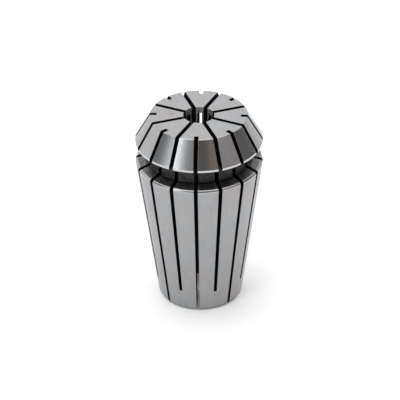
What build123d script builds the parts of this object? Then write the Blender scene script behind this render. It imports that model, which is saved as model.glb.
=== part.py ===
"""Spring collet of the 16 size: one turned, slotted and ground piece of spring steel.

The axis is +Z and the origin is the centre of the small rear end.  From the rear up, the piece has
an 8 degree taper that seats in the tool holder, a groove that the clamping nut's ring snaps into,
and a 30 degree nose that the nut presses on.  A straight bore runs down the axis and opens into a
wider relief at the rear.  Eight slots are cut from the front face and eight more, half a pitch
round, from the rear end, so that the whole sleeve can close on a shank along its length.

All lengths are millimetres and all angles are degrees.
"""

import os
from math import cos, radians, sin, sqrt, tan

from build123d import *

# Overall and head
overall_length = 27.5
head_length = 4.0  # front face to the back of the head
head_diameter = 16.96
head_land = 0.3  # straight band round the widest part of the head
head_back_chamfer = 0.18
nose_half_angle = 30.0
rim_break = 0.14  # polished edge between the nose and the front face

# Tapered body
body_diameter = 17.06  # where the taper and the groove's shoulder would meet
body_half_angle = 8.0
body_edge_radius = 0.36
rear_chamfer_length = 0.55
rear_chamfer_width = 0.35

# Groove between body and head
groove_width = 2.7  # widest edge of the taper to the back of the head
groove_diameter = 13.8
groove_shoulder_rise = 0.5  # the body's shoulder slopes up towards the groove floor
groove_corner_radius = 0.2

# Bore
bore_diameter = 4.0
bore_mouth_diameter = 4.18  # a slight lead-in at the front face
bore_mouth_depth = 1.3
relief_diameter = 6.4
relief_depth = 11.5
relief_end_half_angle = 59.0
relief_mouth_chamfer = 0.3

# Slots
slots_each_way = 8
slot_width_front = 0.58  # the slots narrow towards the rear end
slot_width_rear = 0.43
front_slot_stop = 3.2  # uncut length behind a front slot, at the taper
rear_slot_notch = 0.86  # how far a rear slot shows in from the rim of the front face
saw_radius = 20.0
saw_centre_offset = 8.6  # from the axis, so that each slot runs deepest at the outside
cutter_overrun = 2.0  # how far each cutter runs past the steel
near = 0.01  # how close a corner must be to be picked

# Worked out from the sizes above
head_radius = head_diameter / 2
body_radius = body_diameter / 2
groove_radius = groove_diameter / 2
bore_radius = bore_diameter / 2
bore_mouth_radius = bore_mouth_diameter / 2
relief_radius = relief_diameter / 2
taper_slope = tan(radians(body_half_angle))
nose_slope = tan(radians(nose_half_angle))
groove_top = overall_length - head_length
body_length = groove_top - groove_width
nose_foot = groove_top + head_back_chamfer + head_land
face_radius = head_radius - (overall_length - nose_foot) * nose_slope
shoulder_foot = body_length + groove_shoulder_rise
relief_cone = (relief_radius - bore_radius) / tan(radians(relief_end_half_angle))
slot_pitch = 360 / slots_each_way


def taper_radius(height):
    """Radius of the tapered body at a height above the rear end."""
    return body_radius - (body_length - height) * taper_slope


def slot_width(height):
    """Width of every slot at a height above the rear end."""
    return slot_width_rear + (slot_width_front - slot_width_rear) * height / overall_length


def saw_reach(radius):
    """How far the saw's rim reaches along the axis, past its centre, at a distance from the axis."""
    return sqrt(saw_radius**2 - (radius - saw_centre_offset) ** 2)


# The blank: one profile turned about the axis.
with BuildPart() as blank:
    with BuildSketch(Plane.XZ):
        with BuildLine():
            Polyline(
                (0, 0),
                (taper_radius(rear_chamfer_length) - rear_chamfer_width, 0),
                (taper_radius(rear_chamfer_length), rear_chamfer_length),
                (body_radius, body_length),
                (groove_radius, shoulder_foot),
                (groove_radius, groove_top),
                (head_radius - head_back_chamfer, groove_top),
                (head_radius, groove_top + head_back_chamfer),
                (head_radius, nose_foot),
                (face_radius, overall_length),
                (0, overall_length),
                close=True,
            )
        make_face()
        groove_corners = vertices().filter_by_position(Axis.X, groove_radius - near, groove_radius + near)
        fillet(groove_corners, radius=groove_corner_radius)
        body_edge = vertices().filter_by_position(Axis.Y, body_length - near, body_length + near)
        fillet(body_edge, radius=body_edge_radius)
    revolve(axis=Axis.Z)
    rim = edges().filter_by(GeomType.CIRCLE).group_by(Axis.Z)[-1]
    fillet(rim, radius=rim_break)

# A front slot's cutter along +X: a wedge that narrows to the rear, ended by the saw's rim.
with BuildPart() as front_slot:
    with BuildSketch(Plane.YZ):
        with BuildLine():
            Polyline(
                (-slot_width(0) / 2, 0),
                (slot_width(0) / 2, 0),
                (slot_width(overall_length + cutter_overrun) / 2, overall_length + cutter_overrun),
                (-slot_width(overall_length + cutter_overrun) / 2, overall_length + cutter_overrun),
                close=True,
            )
        make_face()
    extrude(amount=body_radius + cutter_overrun)
    stop_radius = taper_radius(front_slot_stop)
    saw_centre_height = front_slot_stop + saw_reach(stop_radius)
    with BuildSketch(Plane.XZ):
        with Locations((saw_centre_offset, saw_centre_height)):
            Circle(saw_radius)
        with Locations((0, saw_centre_height)):
            Rectangle(
                body_radius + cutter_overrun,
                overall_length + cutter_overrun - saw_centre_height,
                align=(Align.MIN, Align.MIN),
            )
    extrude(amount=slot_width_front, both=True, mode=Mode.INTERSECT)

# A rear slot's cutter along +X: the same wedge, ended by the saw's rim just short of the face.
with BuildPart() as rear_slot:
    with BuildSketch(Plane.YZ):
        with BuildLine():
            Polyline(
                (-slot_width(-cutter_overrun) / 2, -cutter_overrun),
                (slot_width(-cutter_overrun) / 2, -cutter_overrun),
                (slot_width(overall_length + cutter_overrun) / 2, overall_length + cutter_overrun),
                (-slot_width(overall_length + cutter_overrun) / 2, overall_length + cutter_overrun),
                close=True,
            )
        make_face()
    extrude(amount=body_radius + cutter_overrun)
    notch_radius = face_radius - rear_slot_notch
    saw_centre_height = overall_length - saw_reach(notch_radius)
    with BuildSketch(Plane.XZ):
        with Locations((saw_centre_offset, saw_centre_height)):
            Circle(saw_radius)
        with Locations((0, saw_centre_height)):
            Rectangle(
                body_radius + cutter_overrun,
                saw_centre_height + cutter_overrun,
                align=(Align.MIN, Align.MAX),
            )
    extrude(amount=slot_width_front, both=True, mode=Mode.INTERSECT)

# The finished collet: the blank, bored from both ends and slotted.
with BuildPart() as collet:
    add(blank.part)
    with BuildSketch(Plane.XZ):
        with BuildLine():
            Polyline(
                (0, 0),
                (relief_radius + relief_mouth_chamfer, 0),
                (relief_radius, relief_mouth_chamfer),
                (relief_radius, relief_depth),
                (bore_radius, relief_depth + relief_cone),
                (bore_radius, overall_length - bore_mouth_depth),
                (bore_mouth_radius, overall_length),
                (0, overall_length),
                close=True,
            )
        make_face()
    revolve(axis=Axis.Z, mode=Mode.SUBTRACT)
    with PolarLocations(0, slots_each_way, start_angle=-90 + slot_pitch / 2):
        add(front_slot.part, mode=Mode.SUBTRACT)
    with PolarLocations(0, slots_each_way, start_angle=-90):
        add(rear_slot.part, mode=Mode.SUBTRACT)

collet.part.label = "collet"
os.makedirs("parts", exist_ok=True)
export_step(collet.part, "parts/collet.step")

print("solids", len(collet.part.solids()), "volume", round(collet.part.volume, 1))
print("face radius", round(face_radius, 3), "rear radius", round(taper_radius(0), 3))
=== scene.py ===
"""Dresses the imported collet: ground spring steel on a plain white studio floor.

Lengths are metres, in the same frame as the CAD: origin at the centre of the small rear end, +Z up
the axis, camera on the -Y side.  Angles are degrees, and azimuths run from -Y, positive towards +X.
"""

from math import cos, radians, sin, tan

import bpy
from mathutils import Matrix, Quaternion, Vector


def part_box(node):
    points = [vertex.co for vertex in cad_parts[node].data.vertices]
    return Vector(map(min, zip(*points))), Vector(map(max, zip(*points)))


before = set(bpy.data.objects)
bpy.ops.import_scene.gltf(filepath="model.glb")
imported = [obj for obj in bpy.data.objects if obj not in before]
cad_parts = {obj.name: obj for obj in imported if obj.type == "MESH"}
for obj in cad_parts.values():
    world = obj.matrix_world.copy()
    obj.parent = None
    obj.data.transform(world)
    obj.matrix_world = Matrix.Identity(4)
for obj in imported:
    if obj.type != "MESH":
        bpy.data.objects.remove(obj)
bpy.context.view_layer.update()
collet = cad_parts["collet"]
low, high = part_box("collet")
MM = 0.001

# Zones of the part: ground steel, except for the dark finish and painted shade in the groove, and the
# painted shade in the slots and behind the bore
OVERALL = high[2] - low[2]
GROOVE_FROM = 20.75 * MM
GROOVE_TO = 23.60 * MM
GROOVE_OUTSIDE = 8.15 * MM
SHOULDER_TO = 21.20 * MM
SHOULDER_SOFT = 0.1 * MM
SHOULDER_LIGHTER = 0.35  # how much of the groove's dark finish and painted shade is taken off its sloping shoulder
INSIDE_RADIUS = 4.0 * MM  # takes in the relief, and stays clear of the outside
INSIDE_TO = OVERALL - 0.3 * MM  # stays clear of the front face
BORE_RADIUS = 2.14 * MM  # takes in the bore and its lead-in
ZONE_SOFT = 0.04 * MM  # width over which one zone turns into the next
SLOT_WALL_TURN = 0.55  # share of the normal that runs round the axis: 0 as turned, 1 on a slot's wall
SLOT_WALL_SOFT = 0.2
AXIS_RADIUS = 0.1 * MM  # keeps that share finite at the axis

# Colours and roughness
GROUND_COLOUR = (0.446, 0.457, 0.472, 1.0)
GROUND_WARM_COLOUR = (0.473, 0.457, 0.454, 1.0)
# dark finish and painted shade in the groove, painted shade in the relief
DARK_FINISH_AND_SHADE_COLOUR = (0.050, 0.047, 0.048, 1.0)
# painted shade: the slots' walls are coloured near black
SLOT_SHADE_COLOUR = (0.012, 0.012, 0.014, 1.0)
STAIN_COLOUR = (0.28, 0.25, 0.22, 1.0)
GROUND_ROUGHNESS = 0.20
DARK_ROUGHNESS = 0.45
SLOT_ROUGHNESS = 0.95

# Patterns in the steel: scale per metre, detail, roughness
GRAIN = (5200.0, 3.0, 0.6)  # fine mottling everywhere
CLOUD = (420.0, 2.0, 0.5)  # broad light and dark
LINES = (9000.0, 2.0, 0.5)  # grinding lines that follow the turning
STREAKS = (2600.0, 2.0, 0.5)  # faint light and dark streaks that run down the taper
CUT = (2200.0, 3.0, 0.7)  # coarse mottling in the groove
PATCHES = (260.0, 2.0, 0.6)  # cooler and warmer steel
STREAKS_SQUASH = (1.0, 1.0, 0.06)  # draws the streaks out along the axis
PATTERN_MIDDLE = 0.5  # every pattern runs from 0 to 1 about this

# How strongly the patterns show
GRAIN_TONE = (0.95, 1.05)
CLOUD_TONE = (0.95, 1.05)
STREAKS_TONE = (0.90, 1.10)
CUT_CONTRAST = 2.4
CUT_SHIFT = -0.2
PATCHES_EDGE = 0.5
PATCHES_SOFT = 0.25
GRAIN_ROUGHNESS = 0.10
GROUND_BUMP = 0.06
DARK_BUMP = 0.5
BUMP_DEPTH = 0.02 * MM

# Painted light brightens the bore at its mouth, and painted shade darkens it further down
BORE_MOUTH_LIGHT = 1.5
BORE_DEEP_SHADE = 0.10
BORE_DEEP_FROM = 24.6 * MM
BORE_DEEP_SOFT = 1.0 * MM

# Edges and the stain on the face
EDGE_RADIUS = 0.05 * MM
EDGE_SAMPLES = 6
STAIN_AT = (-3.7 * MM, 0.2 * MM, OVERALL)
STAIN_REACH = 0.55 * MM
STAIN_WAVE = 1.2 * MM
STAIN_SOFT = 0.8 * MM
STAIN_STRENGTH = 0.45

# Camera
CAMERA_AZIMUTH = 3.4
CAMERA_ELEVATION = 32.257
CAMERA_ROLL = -0.57
CAMERA_DISTANCE = 378.8 * MM
CAMERA_LENS = 253.3
CAMERA_SENSOR = 36.0
CAMERA_NEAR = 10 * MM
AIM_HEIGHT = 14.19 * MM
AIM_RIGHT = 0.05 * MM

# Sky and softbox
SKY = 1.0
SOFTBOX_HEIGHT = 0.6
SOFTBOX_RADIUS = 0.29
SOFTBOX_SIDES = 64
SOFTBOX_STRENGTH = 2.0

# Floor
FLOOR_SIZE = 3.0
FLOOR_COLOUR = 0.82  # as it lights the part
FLOOR_SEEN_COLOUR = 1.15  # as the camera sees it
FLOOR_SEEN_LIFT = 0.10  # glow that only the camera sees
FLOOR_NEAR_LIFT = 0.10  # glow that only the part's reflections show
FLOOR_BRIGHT_FROM = 39 * MM  # a brighter ring of that glow, round the part
FLOOR_BRIGHT_TO = 66 * MM
FLOOR_BRIGHT_SOFT = 4 * MM
FLOOR_BRIGHT_LIFT = 0.6

# Cards that stand round the part: azimuth from, azimuth to, brightness, tint
GREY = (1.0, 1.0, 1.0)
WARM = (1.0, 0.82, 0.68)
COOL = (0.90, 0.97, 1.0)
CARDS = (
    (-86, -77, 0.16, COOL),
    (-77, -67, 0.34, COOL),
    (-67, -58, 0.65, COOL),
    (-58, -51, 1.1, GREY),
    (-51, -47, 1.7, GREY),
    (-47, -39, 2.8, GREY),
    (-39, -32, 1.5, GREY),
    (-32, -24, 0.85, GREY),
    (-24, -14, 0.50, COOL),
    (-14, -4, 0.34, COOL),
    (-4, 22, 0.14, GREY),
    (22, 38, 0.30, WARM),
    (38, 80, 0.42, GREY),
    (80, 116, 0.17, GREY),
    (116, 165, 0.72, GREY),
)
CARD_DISTANCE = 0.75
CARD_TOP = 52.0  # elevation of every card's upper edge, seen from the origin
CARD_STEP = 5.0  # azimuth that one flat facet of a card spans, about

# The Mix node's sockets by number, because several share a name: A, B and the result
MIX_SOCKETS = {"FLOAT": (2, 3, 0), "RGBA": (6, 7, 2)}


class Nodes:
    """Builds the node tree of one material or world."""

    def __init__(self, owner):
        owner.use_nodes = True
        self.tree = owner.node_tree
        self.tree.nodes.clear()

    def add(self, kind, inputs=None, **settings):
        node = self.tree.nodes.new(kind)
        for name, value in settings.items():
            setattr(node, name, value)
        for name, value in (inputs or {}).items():
            self.put(node, name, value)
        return node

    def put(self, node, name, value):
        socket = node.inputs[name]
        if isinstance(value, bpy.types.NodeSocket):
            self.tree.links.new(value, socket)
        else:
            socket.default_value = value

    def math(self, operation, a, b=0.0):
        return self.add("ShaderNodeMath", {0: a, 1: b}, operation=operation).outputs[0]

    def product(self, first, *others):
        for other in others:
            first = self.math("MULTIPLY", first, other)
        return first

    def above(self, value, edge, soft):
        """1 where value is above edge, 0 below, turning over the width soft."""
        node = self.add(
            "ShaderNodeMapRange",
            {"Value": value, "From Min": edge - soft / 2, "From Max": edge + soft / 2},
        )
        return node.outputs["Result"]

    def below(self, value, edge, soft):
        return self.math("SUBTRACT", 1.0, self.above(value, edge, soft))

    def blend(self, factor, a, b, kind="FLOAT"):
        """From a to b as factor goes from 0 to 1: numbers, or colours where kind is RGBA."""
        node = self.add("ShaderNodeMix", {"Factor": factor}, data_type=kind)
        socket_a, socket_b, result = MIX_SOCKETS[kind]
        self.put(node, socket_a, a)
        self.put(node, socket_b, b)
        return node.outputs[result]

    def noise(self, at, scale, detail, roughness):
        pattern = {"Vector": at, "Scale": scale, "Detail": detail, "Roughness": roughness}
        return self.add("ShaderNodeTexNoise", pattern).outputs["Fac"]

    def output(self, shader, kind="ShaderNodeOutputMaterial"):
        self.put(self.add(kind), "Surface", shader)


def emission(name, strength, tint):
    """A plain material that glows at that strength."""
    material = bpy.data.materials.new(name)
    n = Nodes(material)
    n.output(n.add("ShaderNodeEmission", {"Color": (*tint, 1), "Strength": strength}).outputs[0])
    return material


def slot_walls(n, x, y, radius):
    """Mask of the faces that look round the axis, as only the slots' walls do."""
    true_normal = n.add("ShaderNodeNewGeometry").outputs["True Normal"]
    nx, ny = n.add("ShaderNodeSeparateXYZ", {0: true_normal}).outputs[:2]
    along = n.math("SUBTRACT", n.product(x, ny), n.product(y, nx))
    turned = n.math("ABSOLUTE", n.math("DIVIDE", along, n.math("MAXIMUM", radius, AXIS_RADIUS)))
    return n.above(turned, SLOT_WALL_TURN, SLOT_WALL_SOFT)


def steel():
    """Ground steel outside, on the face and in the bore, with painted light at the bore's mouth and
    painted shade deeper in it; a dark finish with painted shade in the groove, and painted shade in
    the slots and relief.
    """
    material = bpy.data.materials.new("collet_steel")
    n = Nodes(material)
    at = n.add("ShaderNodeTexCoord").outputs["Object"]
    x, y, z = n.add("ShaderNodeSeparateXYZ", {0: at}).outputs
    radius = n.math("SQRT", n.math("ADD", n.product(x, x), n.product(y, y)))

    # Masks of the zones
    # where painted shade goes on the slots' walls
    shaded_slot_wall = slot_walls(n, x, y, radius)
    in_groove = n.product(
        n.above(z, GROOVE_FROM, ZONE_SOFT),
        n.below(z, GROOVE_TO, ZONE_SOFT),
        n.below(radius, GROOVE_OUTSIDE, ZONE_SOFT),
    )
    on_shoulder = n.below(z, SHOULDER_TO, SHOULDER_SOFT)
    # less of the groove's dark finish and painted shade on its sloping shoulder
    groove_dark_share = n.math("SUBTRACT", 1.0, n.product(on_shoulder, SHOULDER_LIGHTER))
    past_bore = n.above(radius, BORE_RADIUS, ZONE_SOFT)
    # the relief behind the bore, which gets painted shade
    relief_shade = n.product(
        n.below(radius, INSIDE_RADIUS, ZONE_SOFT),
        past_bore,
        n.below(z, INSIDE_TO, ZONE_SOFT),
    )
    # the groove's dark finish and painted shade, and painted shade in the relief
    dark_and_shade = n.math("MAXIMUM", n.product(in_groove, groove_dark_share), relief_shade)

    # Patterns
    grain = n.noise(at, *GRAIN)
    cloud = n.noise(at, *CLOUD)
    cut = n.noise(at, *CUT)
    patches = n.noise(at, *PATCHES)
    lines_at = n.add("ShaderNodeCombineXYZ", {"X": radius, "Z": z}).outputs[0]
    lines = n.noise(lines_at, *LINES)
    squashed = n.add("ShaderNodeVectorMath", {0: at, 1: STREAKS_SQUASH}, operation="MULTIPLY")
    streaks = n.noise(squashed.outputs[0], *STREAKS)

    # Tone
    tone = n.product(
        n.blend(grain, *GRAIN_TONE),
        n.blend(cloud, *CLOUD_TONE),
        n.blend(streaks, *STREAKS_TONE),
    )
    rough_cut = n.math("ADD", n.product(cut, CUT_CONTRAST), CUT_SHIFT)
    tone = n.blend(in_groove, tone, n.product(tone, rough_cut))
    # painted light at the bore's mouth, painted shade further down
    near_mouth = n.above(z, BORE_DEEP_FROM, BORE_DEEP_SOFT)
    bore_light_and_shade = n.blend(near_mouth, BORE_DEEP_SHADE, BORE_MOUTH_LIGHT)
    tone = n.product(tone, n.blend(past_bore, bore_light_and_shade, 1.0))

    # Colour
    away = n.add("ShaderNodeVectorMath", {0: at, 1: STAIN_AT}, operation="DISTANCE").outputs["Value"]
    wave = n.product(n.math("SUBTRACT", cloud, PATTERN_MIDDLE), STAIN_WAVE)
    stain = n.product(n.below(n.math("ADD", away, wave), STAIN_REACH, STAIN_SOFT), STAIN_STRENGTH)
    warm = n.above(patches, PATCHES_EDGE, PATCHES_SOFT)
    colour = n.blend(warm, GROUND_COLOUR, GROUND_WARM_COLOUR, "RGBA")
    colour = n.blend(stain, colour, STAIN_COLOUR, "RGBA")
    # dark finish and painted shade in the groove, painted shade in the relief
    colour = n.blend(dark_and_shade, colour, DARK_FINISH_AND_SHADE_COLOUR, "RGBA")
    # painted shade on the slots' walls
    colour = n.blend(shaded_slot_wall, colour, SLOT_SHADE_COLOUR, "RGBA")
    toned = n.add("ShaderNodeVectorMath", {0: colour, "Scale": tone}, operation="SCALE")

    # Roughness
    spread = n.product(n.math("SUBTRACT", grain, PATTERN_MIDDLE), GRAIN_ROUGHNESS)
    rough = n.math("ADD", GROUND_ROUGHNESS, spread)
    rough = n.blend(dark_and_shade, rough, DARK_ROUGHNESS)
    rough = n.blend(past_bore, DARK_ROUGHNESS, rough)
    rough = n.blend(shaded_slot_wall, rough, SLOT_ROUGHNESS)

    # Softened edges, with the fine texture on top
    edge = n.add("ShaderNodeBevel", {"Radius": EDGE_RADIUS}, samples=EDGE_SAMPLES)
    texture = {
        "Height": n.math("ADD", grain, lines),
        "Normal": edge.outputs[0],
        "Strength": n.blend(dark_and_shade, GROUND_BUMP, DARK_BUMP),
        "Distance": BUMP_DEPTH,
    }
    bump = n.add("ShaderNodeBump", texture)
    surface = {
        "Base Color": toned.outputs[0],
        "Roughness": rough,
        "Metallic": 1.0,
        "Normal": bump.outputs[0],
    }
    n.output(n.add("ShaderNodeBsdfPrincipled", surface).outputs[0])
    return material


def floor():
    """A pale floor that keeps the shadow and is lifted to white where it is fully lit."""
    bpy.ops.mesh.primitive_plane_add(size=FLOOR_SIZE, location=(0, 0, 0))
    plane = bpy.context.object
    plane.name = "floor"
    material = bpy.data.materials.new("floor_white")
    n = Nodes(material)
    path = n.add("ShaderNodeLightPath")
    seen = path.outputs["Is Camera Ray"]
    shade = n.blend(seen, FLOOR_COLOUR, FLOOR_SEEN_COLOUR)
    grey = n.add("ShaderNodeCombineXYZ", {"X": shade, "Y": shade, "Z": shade})
    matt = n.add("ShaderNodeBsdfDiffuse", {"Color": grey.outputs[0]})

    at = n.add("ShaderNodeTexCoord").outputs["Object"]
    away = n.add("ShaderNodeVectorMath", {0: at}, operation="LENGTH").outputs["Value"]
    start = n.above(away, FLOOR_BRIGHT_FROM, FLOOR_BRIGHT_SOFT)
    end = n.above(away, FLOOR_BRIGHT_TO, FLOOR_BRIGHT_SOFT)
    ring = n.product(n.math("SUBTRACT", start, end), FLOOR_BRIGHT_LIFT)
    ring = n.math("ADD", ring, FLOOR_NEAR_LIFT)
    mirrored = n.product(path.outputs["Is Glossy Ray"], ring)
    lift = n.math("ADD", n.product(seen, FLOOR_SEEN_LIFT), mirrored)
    glow = n.add("ShaderNodeEmission", {"Color": (1, 1, 1, 1), "Strength": lift})
    n.output(n.add("ShaderNodeAddShader", {0: matt.outputs[0], 1: glow.outputs[0]}).outputs[0])
    plane.data.materials.append(material)


def card(name, azimuth_from, azimuth_to, strength, tint):
    """A curved studio card that stands round the part and shows only in its reflections."""
    steps = max(1, round((azimuth_to - azimuth_from) / CARD_STEP))
    top = CARD_DISTANCE * tan(radians(CARD_TOP))
    points = []
    for i in range(steps + 1):
        azimuth = radians(azimuth_from + (azimuth_to - azimuth_from) * i / steps)
        for height in (0, top):
            points.append((CARD_DISTANCE * sin(azimuth), -CARD_DISTANCE * cos(azimuth), height))
    faces = [(2 * i, 2 * i + 2, 2 * i + 3, 2 * i + 1) for i in range(steps)]
    mesh = bpy.data.meshes.new(name)
    mesh.from_pydata(points, [], faces)
    made = bpy.data.objects.new(name, mesh)
    bpy.context.scene.collection.objects.link(made)
    made.data.materials.append(emission(name, strength, tint))
    made.visible_camera = False
    made.visible_shadow = False


def softbox():
    """A round light straight overhead, which draws the bright lines along the upper edges."""
    bpy.ops.mesh.primitive_circle_add(
        vertices=SOFTBOX_SIDES,
        radius=SOFTBOX_RADIUS,
        fill_type="NGON",
        location=(0, 0, SOFTBOX_HEIGHT),
    )
    made = bpy.context.object
    made.name = "softbox"
    made.data.materials.append(emission("softbox", SOFTBOX_STRENGTH, GREY))
    made.visible_camera = False


def sky():
    """White behind everything, and soft even light from all round."""
    world = bpy.data.worlds.new("studio")
    bpy.context.scene.world = world
    n = Nodes(world)
    back = n.add("ShaderNodeBackground", {"Color": (1, 1, 1, 1), "Strength": SKY})
    n.output(back.outputs[0], "ShaderNodeOutputWorld")


def camera():
    """The camera, on the -Y side and above."""
    azimuth = radians(CAMERA_AZIMUTH)
    elevation = radians(CAMERA_ELEVATION)
    back = Vector((sin(azimuth) * cos(elevation), -cos(azimuth) * cos(elevation), sin(elevation)))
    right = Vector((cos(azimuth), sin(azimuth), 0))
    aim = right * AIM_RIGHT + Vector((0, 0, AIM_HEIGHT))
    data = bpy.data.cameras.new("camera")
    data.sensor_fit = "HORIZONTAL"
    data.sensor_width = CAMERA_SENSOR
    data.lens = CAMERA_LENS
    data.clip_start = CAMERA_NEAR
    made = bpy.data.objects.new("camera", data)
    made.location = aim + back * CAMERA_DISTANCE
    made.rotation_mode = "QUATERNION"
    turn = Quaternion((0, 0, 1), radians(CAMERA_ROLL))
    made.rotation_quaternion = (-back).to_track_quat("-Z", "Y") @ turn
    bpy.context.scene.collection.objects.link(made)
    bpy.context.scene.camera = made


finish = steel()
for slot in collet.material_slots:
    slot.link = "OBJECT"
    slot.material = finish
floor()
for i, entry in enumerate(CARDS):
    card(f"card_{i}", *entry)
softbox()
sky()
camera()
bpy.context.scene.view_settings.view_transform = "Standard"
